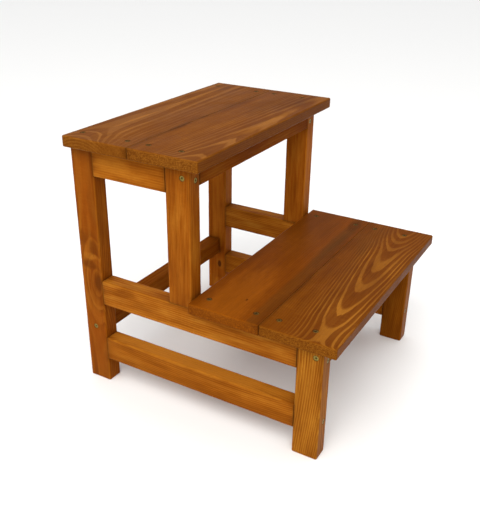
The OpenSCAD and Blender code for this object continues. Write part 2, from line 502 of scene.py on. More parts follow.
@dataclass(frozen=True)
class Knot:
    """A branch that grew through the timber. Millimetres from the timber's middle.

    Attributes:
        along: its place along the grain.
        across: its place along the first cross axis.
        depth: its place along the second cross axis.
        reach: how far from it the rings bend.
        push: how far they are pushed out.
        core: radius of the dark knot itself.
        dark: how dark the knot itself is.
    """

    along: float
    across: float
    depth: float
    reach: float = 20.0
    push: float = 6.0
    core: float = 6.0
    dark: float = 0.85


NO_KNOT = Knot(0.0, 0.0, 1000.0, push=0.0)


class Tint(Enum):
    """What a patch of stain looks like: one of the finish's own colours."""

    DEEP = "deep"
    PALE = "pale"
    GROUND = "ground"
    OLIVE = "olive"


@dataclass(frozen=True)
class Patch:
    """A soft patch of stain; a few patches are painted light and shade. Millimetres
    from the timber's middle.

    Attributes:
        middle: its place along the grain and the two cross axes.
        size: its half sizes along the same three axes.
        tint: what it looks like.
        strength: how strongly it shows.
    """

    middle: Triple
    size: Triple
    tint: Tint
    strength: float


@dataclass(frozen=True)
class Log:
    """Where the pith lies beside a timber. Millimetres from the timber's middle.

    Attributes:
        across: place of the pith along the first cross axis.
        course: pairs of a place along the timber and the pith's place on the second
            cross axis there, which a smooth curve joins.
        ring: width of one ring.
        wander: how far the rings stray.
        ripple: how far a ring's edge ripples.
        lean: how far the pith moves across for each millimetre along.
        fade: distance from the pith's line at which the rings' bands have faded.
        knot: a branch near the surface.
    """

    across: float
    course: tuple[tuple[float, float], ...]
    ring: float = 3.0
    wander: float = 4.0
    ripple: float = 0.6
    lean: float = 0.0
    fade: float = 900.0
    knot: Knot = NO_KNOT


# ---- Finishes ----

# Width of the lighter edge band: wear and painted highlight.
EDGE_WEAR_WIDTH = 2.2 * MM
RELIEF_HEIGHT = 0.12 * MM
VARNISH_TINT = (1.0, 0.72, 0.42, 1.0)
KNOT_HEART = (0.030, 0.010, 0.002, 1.0)
# Dirt and painted shade in the joints between timbers.
CORNER_DIRT_AND_SHADE = (0.045, 0.013, 0.003, 1.0)
# Dark stain in a screw's seat together with painted shade round its head.
SEAT_DIRT_AND_SHADE = (0.022, 0.009, 0.003, 1.0)


@dataclass(frozen=True)
class PineFinish:
    """A stained and satin-varnished pine surface.

    Attributes:
        ground: colour of the early wood, which soaks up the stain.
        pale: colour of the late wood, which takes little of it.
        deep: colour where the stain has pooled, also used as painted shade near joins,
        and of cut end grain.
        olive: colour of the greenish streaks that run along some boards.
        band: how strongly the late wood shows, from 0 to 1.
        line: how strongly the dark line at the start of a ring shows.
        streak: how strongly the long streaks show.
        brush: how strongly the broad marks of the stain brush show.
        curl: how strongly the figure across the grain shows.
        blotch: how uneven the stain is.
        broad: how strongly the broad bands along the grain show.
        speckle: how strongly sawn end grain is speckled.
        tone: brightness of the whole piece, which on a few pieces also paints light and
        shade.
        roughness: the satin's mean roughness.
        gloss: how much the surface reflects.
        slot: name of a material slot; not used.
    """

    ground: Colour = (0.245, 0.063, 0.0024, 1.0)
    pale: Colour = (0.435, 0.162, 0.0150, 1.0)
    deep: Colour = (0.115, 0.025, 0.0012, 1.0)
    olive: Colour = (0.078, 0.030, 0.005, 1.0)
    band: float = 0.4
    line: float = 0.3
    streak: float = 0.35
    brush: float = 0.6
    curl: float = 0.07
    blotch: float = 0.55
    broad: float = 0.3
    speckle: float = 0.8
    tone: float = 1.0
    roughness: float = 0.42
    gloss: float = 0.02
    slot: str = "stained_pine_frame"

    def material(self, effects: Effects, timber: Timber) -> bpy.types.Material:
        """Builds the material of one timber.

        Args:
            effects: the shared effects.
            timber: the timber.

        Returns:
            The material.
        """
        material, sketch, shader = start_material("pine_" + timber.node)
        sight = sketch.add("ShaderNodeTexCoord")
        mapping = sketch.add("ShaderNodeMapping", Wire(sketch, sight.outputs["Object"]),
                             vector_type="TEXTURE")
        sketch.fill(mapping, Location=tuple(timber.centre), Rotation=timber.grain.turn())
        place = Wire(sketch, mapping.outputs[0])
        given = {"Place": place, "Seed": float(timber.seed)}
        normal = sketch.split(Wire(sketch, sight.outputs["Normal"]))
        facing = sketch.math("ABSOLUTE", normal[timber.grain.normal_axis()])
        marks = {
            **self._rings(effects, sketch, place, timber),
            **effects.place(sketch, Effect.WOOD_FIBRES, **given),
            **effects.place(sketch, Effect.BAR_EDGES, Half_Size=tuple(timber.half),
                            Wear_Width=EDGE_WEAR_WIDTH, **given),
            **effects.place(sketch, Effect.HANDLING, **given),
            **{name: sketch.attribute(name) for name in ("seat", "corner", "pool")},
            "cut": sketch.step(facing, 0.6, 0.9)}
        stains = [
            (effects.place(sketch, Effect.STAIN_PATCH, Place=place,
                           Middle=tuple(v * MM for v in patch.middle),
                           Half_Size=tuple(v * MM for v in patch.size),
                           Seed=timber.seed + 0.37 * number)["Mask"] * patch.strength,
             getattr(self, patch.tint.value))
            for number, patch in enumerate(timber.patches)]
        sketch.fill(shader, Base_Color=self._colour(sketch, marks, stains, timber.log.knot),
                    Roughness=self._roughness(sketch, marks),
                    Normal=sketch.bump(self._relief(marks), 0.45, RELIEF_HEIGHT),
                    Specular_IOR_Level=self.gloss, Specular_Tint=VARNISH_TINT)
        return material

    @staticmethod
    def _rings(effects: Effects, sketch: Sketch, place: Wire, timber: Timber
               ) -> dict[str, Wire]:
        """Places the growth rings, with the pith's course as a curve along the timber.

        Args:
            effects: the shared effects.
            sketch: the material's tree.
            place: the place along the timber's own axes.
            timber: the timber.

        Returns:
            The marks of the rings.
        """
        log, knot, span = timber.log, timber.log.knot, timber.half[0]
        along = sketch.split(place)[0]
        depths = [depth for _, depth in log.course]
        low = min(depths)
        room = max(max(depths) - low, 1.0)
        points = sorted(((x * MM + span) / (2.0 * span), (depth - low) / room)
                        for x, depth in log.course)
        if len(points) == 1:
            points = [(0.0, points[0][1]), (1.0, points[0][1])]
        course = sketch.add("ShaderNodeFloatCurve")
        curve = course.mapping.curves[0]
        while len(curve.points) < len(points):
            curve.points.new(0.5, 0.5)
        for knob, (x, y) in zip(curve.points, points):
            knob.location = (min(max(x, 0.0), 1.0), y)
        course.mapping.update()
        sketch.fill(course, Value=(along + span) / (2.0 * span))
        curved = Wire(sketch, course.outputs[0])
        return effects.place(
            sketch, Effect.GROWTH_RINGS, Place=place, Seed=float(timber.seed),
            Pith_Across=sketch.math("MULTIPLY_ADD", along, log.lean, log.across * MM),
            Pith_Depth=sketch.math("MULTIPLY_ADD", curved, room * MM, low * MM),
            Ring_Width=log.ring * MM, Wander=log.wander * MM, Ripple=log.ripple * MM,
            Knot_Place=(knot.along * MM, knot.across * MM, knot.depth * MM),
            Knot_Reach=knot.reach * MM, Knot_Push=knot.push * MM, Knot_Core=knot.core * MM,
            Fade=log.fade * MM)

    def _colour(self, sketch: Sketch, marks: dict[str, Wire],
                stains: list[tuple[Wire, Colour]], knot: Knot) -> Wire:
        """Mixes the stain's colours by ring, streak, blotch, end grain and wear, with
        painted shade near joins and round screw seats and a painted highlight on edges.

        Args:
            sketch: the material's tree.
            marks: what the shared effects say about a place.
            stains: the timber's own patches: how strongly each shows, and its colour.
            knot: the timber's knot.

        Returns:
            The colour.
        """
        step, mix = sketch.step, sketch.mix
        band = (marks["Late Wood"] * sketch.math("MULTIPLY_ADD", marks["Ring Tone"], 0.5, 0.6)
                * step(marks["Blotch"], 0.3, 0.7, 0.65, 1.1) * marks["Shown"] * self.band)
        colour = mix(band, self.ground, self.pale)
        colour = mix(marks["Ring Line"] * marks["Shown"] * self.line, colour, self.deep)
        # Each of these marks shows from its first value to its second, by its strength.
        for name, none, full, strength, tint in (
                ("Streak", 0.35, 0.75, self.streak * 0.55, self.pale),
                ("Streak", 0.5, 0.2, self.streak * 0.6, self.deep),
                ("Brush", 0.45, 0.8, self.brush * 0.7, self.pale),
                ("Brush", 0.5, 0.2, self.brush * 0.7, self.deep),
                ("Blotch", 0.62, 0.3, self.blotch * 0.5, self.deep),
                ("Broad Tone", 0.58, 0.38, self.broad * 0.5, self.deep)):
            colour = mix(step(marks[name], none, full) * strength, colour, tint)
        for share, tint in stains:
            colour = mix(share, colour, tint)
        colour = mix(marks["Duct"] * (1.0 - marks["cut"]) * 0.4, colour, self.deep)
        curl = step(marks["Curl"], 0.45, 0.7) * step(marks["Blotch"], 0.45, 0.65)
        colour = mix(curl * self.curl, colour, self.pale)
        colour = sketch.vector("SCALE", colour, step(marks["Fibre"], 0.25, 0.75, 0.91, 1.09))

        grit = step(marks["Speckle"], 0.38, 0.66) * step(marks["Streak"], 0.35, 0.6, 0.55, 1.0)
        ends = mix(grit, mix(0.3, self.deep, self.ground), self.pale)
        ends = mix(1.0 - self.speckle * 0.75, ends, colour)
        colour = mix(marks["cut"], colour, ends)

        # Darker near where timbers meet: pooled stain and painted shade between the parts.
        pooled_stain_and_shade = marks["pool"] * step(marks["Brush"], 0.3, 0.65, 0.8, 0.25)
        # Lighter edges: rubbed stain and painted highlight along the rounded arrises.
        for share, tint in ((pooled_stain_and_shade, self.deep), (marks["Wear"] * 0.22, self.pale),
                            (marks["Knot"] * knot.dark, KNOT_HEART),
                            # Thin dark line in each joint: dirt and painted shade.
                            (marks["corner"] * 0.6, CORNER_DIRT_AND_SHADE),
                            # Round each screw head: stain and painted shade.
                            (marks["seat"] * 0.85, SEAT_DIRT_AND_SHADE)):
            colour = mix(share, colour, tint)
        return sketch.vector("SCALE", colour, self.tone)

    def _roughness(self, sketch: Sketch, marks: dict[str, Wire]) -> Wire:
        """Works out the roughness: hard late wood shines more, end grain and dust less.

        Args:
            sketch: the material's tree.
            marks: what the shared effects say about a place.

        Returns:
            The roughness.
        """
        rough = (sketch.step(marks["Smear"], 0.25, 0.75, -0.06, 0.08) + self.roughness
                 - marks["Late Wood"] * 0.05 + marks["cut"] * 0.22 + marks["Dust"] * 0.15)
        return sketch.math("ADD", rough, marks["seat"] * 0.3, clamp=True)

    @staticmethod
    def _relief(marks: dict[str, Wire]) -> Wire:
        """Raises late wood and fibres a little, sinks ducts and roughens the end grain."""
        return (marks["Late Wood"] * 0.35 + marks["Fibre"] * 0.5 + marks["Streak"] * 0.6
                - marks["Duct"] * 0.5 + marks["Speckle"] * (marks["cut"] * 2.2))


FRAME_PINE = PineFinish()
TREAD_PINE = PineFinish(
    ground=(0.150, 0.036, 0.0014, 1.0), deep=(0.066, 0.016, 0.0012, 1.0), band=0.55,
    blotch=0.35, curl=0.1, roughness=0.40, slot="stained_pine_tread")


@dataclass(frozen=True)
class ScrewFinish:
    """Yellow zinc plate on steel, dulled by varnish and by dirt in the recess.

    Attributes:
        name: the material's name.
        plate: colour of clean plate.
        dull: colour where the plate has tarnished.
        dirt: colour of what fills the recess.
        worn: share of the plate that has tarnished.
        metal: how metallic the plate still looks.
        shine: how much the dirt and lacquer on it reflect.
        roughness: mean roughness of the plate.
        slot: name of a material slot; not used.
    """

    name: str = "yellow_zinc_plate"
    plate: Colour = (0.32, 0.235, 0.050, 1.0)
    dull: Colour = (0.15, 0.105, 0.026, 1.0)
    dirt: Colour = (0.030, 0.018, 0.008, 1.0)
    worn: float = 0.5
    metal: float = 0.85
    shine: float = 0.3
    roughness: float = 0.42
    slot: str = "plated_screw"

    def material(self, effects: Effects) -> bpy.types.Material:
        """Builds the material of the screws.

        Args:
            effects: the shared effects.

        Returns:
            The material.
        """
        material, sketch, shader = start_material(self.name)
        place = Wire(sketch, sketch.add("ShaderNodeTexCoord").outputs["Object"])
        tarnish = sketch.noise(place, (420.0, 420.0, 420.0), 3.0, 3.0, 0.6)
        smear = effects.place(sketch, Effect.HANDLING, Place=place, Seed=5.0)["Smear"]
        recess = sketch.attribute("recess")
        spread = sketch.step(tarnish, 0.85 - self.worn, 1.15 - self.worn)
        colour = sketch.mix(spread, self.plate, self.dull)
        rough = sketch.step(smear, 0.3, 0.7, self.roughness - 0.09, self.roughness + 0.09)
        sketch.fill(
            shader, Base_Color=sketch.mix(recess * 0.9, colour, self.dirt),
            Metallic=sketch.math("SUBTRACT", self.metal, recess * 0.7, clamp=True),
            Roughness=sketch.math("ADD", rough, recess * 0.3, clamp=True),
            Specular_IOR_Level=self.shine, Normal=sketch.bump(tarnish, 0.25, 0.03 * MM))
        return material


CLEAN_PLATE = ScrewFinish()
TRODDEN_PLATE = ScrewFinish(
    "trodden_zinc_plate", plate=(0.19, 0.115, 0.022, 1.0), dull=(0.062, 0.028, 0.006, 1.0),
    worn=0.55, metal=0.12, shine=0.03, roughness=0.5)


# ---- Mesh work ----


@dataclass(frozen=True)
class Ripple:
    """A smooth wander over space: the mean of a few sine waves with seeded paces.

    Attributes:
        wavelength: mean length of a wave along each axis.
        seed: what sets the waves' paces and starts.
        waves: how many waves are added.
    """

    wavelength: Triple
    seed: int
    waves: int = 7

    def at(self, points: Array) -> Array:
        """Reads the wander.

        Args:
            points: places, one to a row.

        Returns:
            A value between -1 and 1 for each place.
        """
        dice = np.random.default_rng(self.seed)
        pace = dice.normal(size=(self.waves, 3)) * 2.0 * math.pi / np.array(self.wavelength)
        start = dice.uniform(0.0, 2.0 * math.pi, self.waves)
        return np.sin(points @ pace.T + start).mean(axis=-1)


def grid_lines(low: float, high: float, step: float, kept: Iterable[float]) -> Array:
    """Gives the lines of a grid along one direction.

    Args:
        low: the first line.
        high: the last line.
        step: the usual distance between two lines.
        kept: lines that must be there.

    Returns:
        The lines in order. Even lines that crowd a kept one are left out.
    """
    even = np.linspace(low, high, max(2, int(round((high - low) / step)) + 1))
    wanted = np.array(sorted(k for k in kept if low + 1e-7 < k < high - 1e-7))
    if wanted.size:
        crowded = np.abs(even[:, None] - wanted[None, :]).min(axis=1) < 0.3 * step
        crowded[[0, -1]] = False
        even = even[~crowded]
    return np.unique(np.round(np.concatenate([even, wanted]), 8))


def new_mesh_object(name: str, points: Array, faces: list, material: bpy.types.Material,
                    values: dict[str, Array], sharp_angle: float = 38.0
                    ) -> bpy.types.Object:
    """Makes a mesh object that lies where its points say.

    Args:
        name: the object's name.
        points: one point to a row, in the frame.
        faces: lists of point numbers, anticlockwise seen from outside.
        material: its material.
        values: named values, one for each point, which the material reads.
        sharp_angle: faces that meet at more than this many degrees keep a sharp edge.

    Returns:
        The object.
    """
    mesh = bpy.data.meshes.new(name)
    mesh.from_pydata(points.tolist(), [], faces)
    for key, amount in values.items():
        attribute = mesh.attributes.new(key, "FLOAT", "POINT")
        attribute.data.foreach_set("value", amount.astype(np.float32))
    mesh.materials.append(material)
    mesh.polygons.foreach_set("use_smooth", np.ones(len(mesh.polygons), bool))
    mesh.set_sharp_from_angle(angle=math.radians(sharp_angle))
    mesh.validate()
    mesh.update()
    made = bpy.data.objects.new(name, mesh)
    bpy.context.scene.collection.objects.link(made)
    return made


def settle(made: bpy.types.Object, node: str) -> None:
    """Hangs a piece under the root body, hides the CAD node that it stands for, and reports
    it.

    Args:
        made: the piece.
        node: the CAD node that it stands for.
    """
    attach(made, ROOT_BODY)
    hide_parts(node)
    LOG.info("%s: %d points, %d faces", made.name, len(made.data.vertices),
             len(made.data.polygons))


@dataclass(frozen=True)
class Seat:
    """A screw's place: the middle of its head's top, and the way that it faces."""

    mouth: Array
    outward: Array


@dataclass(frozen=True)
class SeatShape:
    """The countersunk seat that a screw's head sits in. Metres.

    Attributes:
        block: half the width of the square patch of grid around the seat.
        lines: grid lines across that patch.
        rings: for each ring from the wood's face down to the shank, its radius, its
        depth and how dark the wood is painted there, which is stain and painted
        shade round the screw's head together.
    """

    block: float = 6.0 * MM
    lines: int = 9
    rings: tuple[Triple, ...] = (
        (5.2 * MM, 0.0, 0.0), (4.65 * MM, 0.0, 0.25), (4.4 * MM, 0.04 * MM, 0.6),
        (4.25 * MM, 0.16 * MM, 1.0), (4.2 * MM, 0.34 * MM, 1.0), (2.12 * MM, 2.42 * MM, 1.0))

    def kept_lines(self, middle: float) -> Array:
        """Gives the grid lines that cross the patch around a seat."""
        return np.linspace(middle - self.block, middle + self.block, self.lines)

    def span(self, lines: Array, middle: float) -> tuple[int, int]:
        """Gives the numbers of the first and the last grid line across the patch."""
        return tuple(int(np.argmin(np.abs(lines - (middle + side * self.block))))
                     for side in (-1.0, 1.0))


SEAT_SHAPE = SeatShape()

# How near two timbers meet, and how far dirt and pooled stain, each with painted shade, reach
# from there.
MEETING_GAP, DIRT_AND_SHADE_REACH, POOL_AND_SHADE_REACH = 3.0 * MM, 1.1 * MM, 7.0 * MM
# How far planing, sanding and dents move a timber's surface.
PLANED_DEPTH, SANDED_DEPTH, DENT_DEPTH = 0.07 * MM, 0.18 * MM, 0.35 * MM


@dataclass
class Skin:
    """Points, faces and darkness that grow as a surface is put together.

    The darkness is stain and painted shade round a screw's seat.
    """

    points: list[Array] = field(default_factory=list)
    faces: list = field(default_factory=list)
    stains: list[Array] = field(default_factory=list)
    count: int = 0

    def add_points(self, points: Array, stain: float = 0.0) -> Array:
        """Adds points.

        Args:
            points: one to a row.
            stain: how dark the wood is painted there: stain and painted shade round a
            screw's seat.

        Returns:
            Their numbers.
        """
        numbers = np.arange(self.count, self.count + len(points))
        self.points.append(points)
        self.stains.append(np.full(len(points), stain))
        self.count += len(points)
        return numbers

    def add_strip(self, outer: Array, inner: Array) -> None:
        """Joins two closed loops of equally many points by quads."""
        quads = np.stack([outer, np.roll(outer, -1), np.roll(inner, -1), inner], axis=1)
        self.faces.extend(quads.tolist())

    def add_fan(self, middle: int, loop: Array, after: Array) -> None:
        """Closes a loop with triangles that meet in its middle."""
        self.faces.extend([int(middle), int(p), int(q)] for p, q in zip(loop, after))


@dataclass(frozen=True)
class Grid:
    """The grid of a timber's skin, whose rows follow the timber and columns go round it.

    Attributes:
        points: the grid's places, along the timber's own axes.
        numbers: the number of each point in the skin.
        cells: which cells of the grid are kept.
        place: the rows' places along the timber.
        cross: lines along the first cross axis.
        deep: lines along the second cross axis.
    """

    points: Array
    numbers: Array
    cells: Array
    place: Array
    cross: Array
    deep: Array


@dataclass
class Timber:
    """One squared and softened piece of pine.

    The skin is a cross-section carried along the grain. The cross-section is a
    rectangle with four quarter-circle corners. Near an end it shrinks by
    r (1 - cos t) while it moves r (1 - sin t) towards the end, which rounds the end's
    edges, and a grid that blends the four sides closes the end.

    Attributes:
        node: the CAD node that it stands for, which also gives its box.
        grain: the way in which the grain runs.
        log: where it was sawn from.
        finish: its stain and varnish.
        seed: its own noise.
        low_round: corner radius on the low side of the first cross axis.
        high_round: corner radius on the high side of the first cross axis.
        end_round: radius around the ends.
        patches: its own patches of stain.
        seats: the screws that enter it.
        step: usual size of a grid cell.
        support: distance from a rounding to the grid line that holds it.
        beside: places of grid lines on both sides of an edge that a neighbour makes.
        arc_cells: cells round a corner.
        end_cells: cells round the edge of an end.
    """

    node: str
    grain: Grain
    log: Log
    finish: PineFinish
    seed: int
    low_round: float = 2.0 * MM
    high_round: float = 2.0 * MM
    end_round: float = 0.5 * MM
    patches: tuple[Patch, ...] = ()
    seats: list[Seat] = field(default_factory=list)
    step: float = 4.5 * MM
    support: float = 0.8 * MM
    beside: tuple[float, ...] = (-2.5 * MM, -0.8 * MM, 0.8 * MM, 2.5 * MM)
    arc_cells: int = 6
    end_cells: int = 4

    def __post_init__(self) -> None:
        """Reads the piece's box from the frame."""
        self.low, self.high = (np.array(corner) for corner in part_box(self.node))
        self.centre = (self.low + self.high) / 2.0
        self.axes = self.grain.axes()
        self.half = np.abs(self.axes @ ((self.high - self.low) / 2.0))

    def holds(self, point: Array) -> bool:
        """Tells whether a point lies inside the timber's box."""
        return bool(np.all(point > self.low - 1e-6) and np.all(point < self.high + 1e-6))

    def local(self, points: Array) -> Array:
        """Turns places in the frame into places along the timber's own axes."""
        return (points - self.centre) @ self.axes.T

    def _lines(self, others: Sequence[Timber]) -> tuple[Array, Array, Array]:
        """Works out the grid lines along the grain and across both faces.

        Args:
            others: the other timbers, whose faces get close pairs of lines.

        Returns:
            Lines along the length, along the first cross axis and along the second.
        """
        length, across, depth = self.half
        kept: tuple[list[float], ...] = ([], [], [])
        for seat in self.seats:
            spot = self.local(seat.mouth)
            side = 2 if abs((self.axes @ seat.outward)[1]) > 0.5 else 1
            for axis in (0, side):
                kept[axis].extend(SEAT_SHAPE.kept_lines(spot[axis]))
        for other in others:
            gap = np.maximum(np.maximum(other.low - self.high, self.low - other.high), 0.0)
            if np.linalg.norm(gap) <= MEETING_GAP:
                for end in self.local(np.stack([other.low, other.high]))[:, 0]:
                    kept[0].extend(end + np.array(self.beside))
        flat = depth - max(self.low_round, self.high_round)
        reaches = ((self.end_round - length, length - self.end_round),
                   (self.low_round - across, across - self.high_round), (-flat, flat))
        return tuple(grid_lines(low, high, self.step,
                                [*lines, low + self.support, high - self.support])
                     for lines, (low, high) in zip(kept, reaches))

    def _stations(self, lines: Array) -> tuple[Array, Array, Array]:
        """Adds the rounded ends to the lines along the grain.

        Args:
            lines: lines along the straight part.

        Returns:
            For each station: its place along the timber, how far the section has shrunk
            there, and how far its surface has turned towards the end, in radians.
        """
        turn = np.linspace(0.0, QUARTER, self.end_cells + 1)[1:]
        out = self.end_round * np.sin(turn)
        shrink = self.end_round * (1.0 - np.cos(turn))
        straight = np.zeros(len(lines))
        place = np.concatenate([(lines[0] - out)[::-1], lines, lines[-1] + out])
        inset = np.concatenate([shrink[::-1], straight, shrink])
        return place, inset, np.concatenate([-turn[::-1], straight, turn])

    def _sections(self, inset: Array, cross: Array, deep: Array
                  ) -> tuple[Array, Array]:
        """Works out every cross-section at once.

        Each section runs anticlockwise from the low corner of the bottom side: bottom,
        high side, top, low side, with a quarter circle after each.

        Args:
            inset: how far each section has shrunk.
            cross: lines along the first cross axis.
            deep: lines along the second cross axis.

        Returns:
            Places on the two cross axes, and outward directions, for every section.
        """
        _, a, b = self.half
        shrink = inset[:, None]
        low, high = (np.maximum(r, shrink) for r in (self.low_round, self.high_round))
        low_curve, high_curve = (np.maximum(r - shrink, 0.0)
                                 for r in (self.low_round, self.high_round))
        arc = np.linspace(0.0, QUARTER, self.arc_cells + 1)[1:-1]

        def spread(lines: Array, start: Array, end: Array) -> Array:
            """Stretches lines so that they run from start to end."""
            return start + (end - start) * ((lines - lines[0]) / (lines[-1] - lines[0]))

        def corner(y: Array, z: Array, curve: Array, start: float
                   ) -> tuple[Array, Array]:
            """Gives a quarter circle around a point, and its outward directions.

            Args:
                y: the point's place on the first cross axis.
                z: its place on the second cross axis.
                curve: the radius.
                start: the angle at which the quarter starts.

            Returns:
                Places and outward directions.
            """
            angle = (start + arc)[None, :]
            way = (np.stack([np.cos(angle), np.sin(angle)], axis=-1)
                   * np.ones_like(shrink)[..., None])
            return np.stack([y, z], axis=-1) + curve[..., None] * way, way

        def side(y: Array, z: Array, way: tuple[float, float]
                 ) -> tuple[Array, Array]:
            """Gives a flat side and its outward directions."""
            places = np.stack(np.broadcast_arrays(y, z), axis=-1)
            return places, np.broadcast_to(np.array(way, float), places.shape)

        wide = spread(cross, low - a, a - high)
        parts = [
            side(wide, shrink - b, (0.0, -1.0)),
            corner(a - high, high - b, high_curve, -QUARTER),
            side(a - shrink, spread(deep, high - b, b - high), (1.0, 0.0)),
            corner(a - high, b - high, high_curve, 0.0),
            side(wide[:, ::-1], b - shrink, (0.0, 1.0)),
            corner(low - a, b - low, low_curve, QUARTER),
            side(shrink - a, spread(deep, low - b, b - low)[:, ::-1], (-1.0, 0.0)),
            corner(low - a, low - b, low_curve, 2.0 * QUARTER)]
        return tuple(np.concatenate(group, axis=1) for group in zip(*parts))

    def _worn(self, points: Array, ways: Array, on_corner: Array) -> Array:
        """Moves points a little, as planing, sanding and use do.

        The faces wander by a few hundredths of a millimetre. The corners are sanded
        unevenly and have a few shallow dents, where a slow wander passes a threshold.

        Args:
            points: places along the timber's own axes.
            ways: outward directions.
            on_corner: 1 on a rounded corner and 0 on a face.

        Returns:
            The moved places.
        """
        planed = Ripple((60 * MM, 30 * MM, 30 * MM), self.seed).at(points) * PLANED_DEPTH
        sanded = Ripple((45 * MM, 20 * MM, 20 * MM), self.seed + 100).at(points) * SANDED_DEPTH
        dent = Ripple((14 * MM, 9 * MM, 9 * MM), self.seed + 200, 5).at(points)
        dented = np.clip((dent - 0.62) / 0.3, 0.0, 1.0) * DENT_DEPTH
        return points + ways * (planed + on_corner * (sanded - dented))[..., None]

    def build(self, effects: Effects, timbers: Sequence[Timber]) -> None:
        """Builds and dresses the timber.

        Args:
            effects: the shared effects.
            timbers: all timbers, for the dirt and painted shade in the corners where they
            meet.
        """
        others = [timber for timber in timbers if timber is not self]
        along, cross, deep = self._lines(others)
        place, inset, lean = self._stations(along)
        section, ways = self._sections(inset, cross, deep)
        rows, count = section.shape[:2]

        def whole(first: Array, rest: Array) -> Array:
            """Puts a part along the timber before the two parts across it."""
            return np.concatenate(
                [np.broadcast_to(first[:, None, None], (rows, count, 1)), rest], -1)

        on_corner = np.minimum(np.abs(ways).min(axis=-1) * 4.0, 1.0)
        if self.end_round > 1.0 * MM:
            on_end = np.minimum(np.abs(np.sin(2.0 * lean)), 1.0)
            on_corner = np.maximum(on_corner, on_end[:, None])
        outward = whole(np.sin(lean), ways * np.cos(lean)[:, None, None])
        points = self._worn(whole(place, section), outward, on_corner)

        skin = Skin()
        numbers = skin.add_points(points.reshape(-1, 3)).reshape(rows, count)
        grid = Grid(points, numbers, np.ones((rows - 1, count), bool), place, cross, deep)
        for seat in self.seats:
            self._cut_seat(skin, grid, seat)
        after = np.roll(numbers, -1, axis=1)
        quads = np.stack([numbers[:-1], after[:-1], after[1:], numbers[1:]], axis=-1)
        skin.faces.extend(quads[grid.cells].tolist())
        self._close_end(skin, grid, 0)
        self._close_end(skin, grid, -1)

        placed = self.centre + np.concatenate(skin.points) @ self.axes
        away = self._distance(placed, others)
        values = {"seat": np.concatenate(skin.stains),
                  "corner": np.exp(-away / DIRT_AND_SHADE_REACH), "pool": np.exp(-away / POOL_AND_SHADE_REACH)}
        made = new_mesh_object(self.node + "_wood", placed, skin.faces,
                               self.finish.material(effects, self), values)
        settle(made, self.node)

    @staticmethod
    def _distance(placed: Array, others: Sequence[Timber]) -> Array:
        """Works out the distance to the nearest other timber's box.

        Dirt, pooled stain and the painted shade with them fall off with it as
        exp(-distance / a few millimetres).

        Args:
            placed: places in the frame.
            others: the other timbers.

        Returns:
            The distance for each place.
        """
        nearest = np.full(len(placed), 1.0)
        for other in others:
            away = np.maximum(np.maximum(other.low - placed, placed - other.high), 0.0)
            nearest = np.minimum(nearest, np.linalg.norm(away, axis=1))
        return nearest

    def _cut_seat(self, skin: Skin, grid: Grid, seat: Seat) -> None:
        """Swaps a square patch of grid for rings that lead down into a screw's seat.

        Args:
            skin: the surface so far.
            grid: its grid.
            seat: the screw's place.
        """
        spot = self.local(seat.mouth)
        facing = np.round(self.axes @ seat.outward)
        side = ((0, -1), (1, 0), (0, 1), (-1, 0)).index((int(facing[1]), int(facing[2])))
        wide, tall, arc = len(grid.cross), len(grid.deep), self.arc_cells - 1
        starts = (0, wide + arc, wide + tall + 2 * arc, 2 * wide + tall + 3 * arc)
        lines, middle = (grid.deep, spot[2]) if side % 2 else (grid.cross, spot[1])
        first, last = SEAT_SHAPE.span(lines, middle)
        if side >= 2:
            first, last = len(lines) - 1 - last, len(lines) - 1 - first
        i0, i1 = starts[side] + first, starts[side] + last
        j0, j1 = SEAT_SHAPE.span(grid.place, spot[0])
        grid.cells[j0:j1, i0:i1] = False

        loop = ([(j0, i) for i in range(i0, i1)] + [(j, i1) for j in range(j0, j1)]
                + [(j1, i) for i in range(i1, i0, -1)] + [(j, i0) for j in range(j1, j0, -1)])
        rows, columns = (np.array(k) for k in zip(*loop))
        border = grid.points[rows, columns]
        ahead = np.array([1.0, 0.0, 0.0])
        beside = np.cross(ahead, facing)
        centre = spot + facing * (float((border @ facing).mean()) - spot @ facing)
        off = border - centre
        angle = np.arctan2(off @ ahead, off @ beside)
        ring_way = np.cos(angle)[:, None] * beside + np.sin(angle)[:, None] * ahead
        outer = grid.numbers[rows, columns]
        for radius, depth, stain in SEAT_SHAPE.rings:
            ring = skin.add_points(centre + radius * ring_way - depth * facing, stain)
            skin.add_strip(outer, ring)
            outer = ring
        floor = skin.add_points((centre - SEAT_SHAPE.rings[-1][1] * facing)[None, :], 1.0)[0]
        skin.add_fan(floor, outer, np.roll(outer, -1))

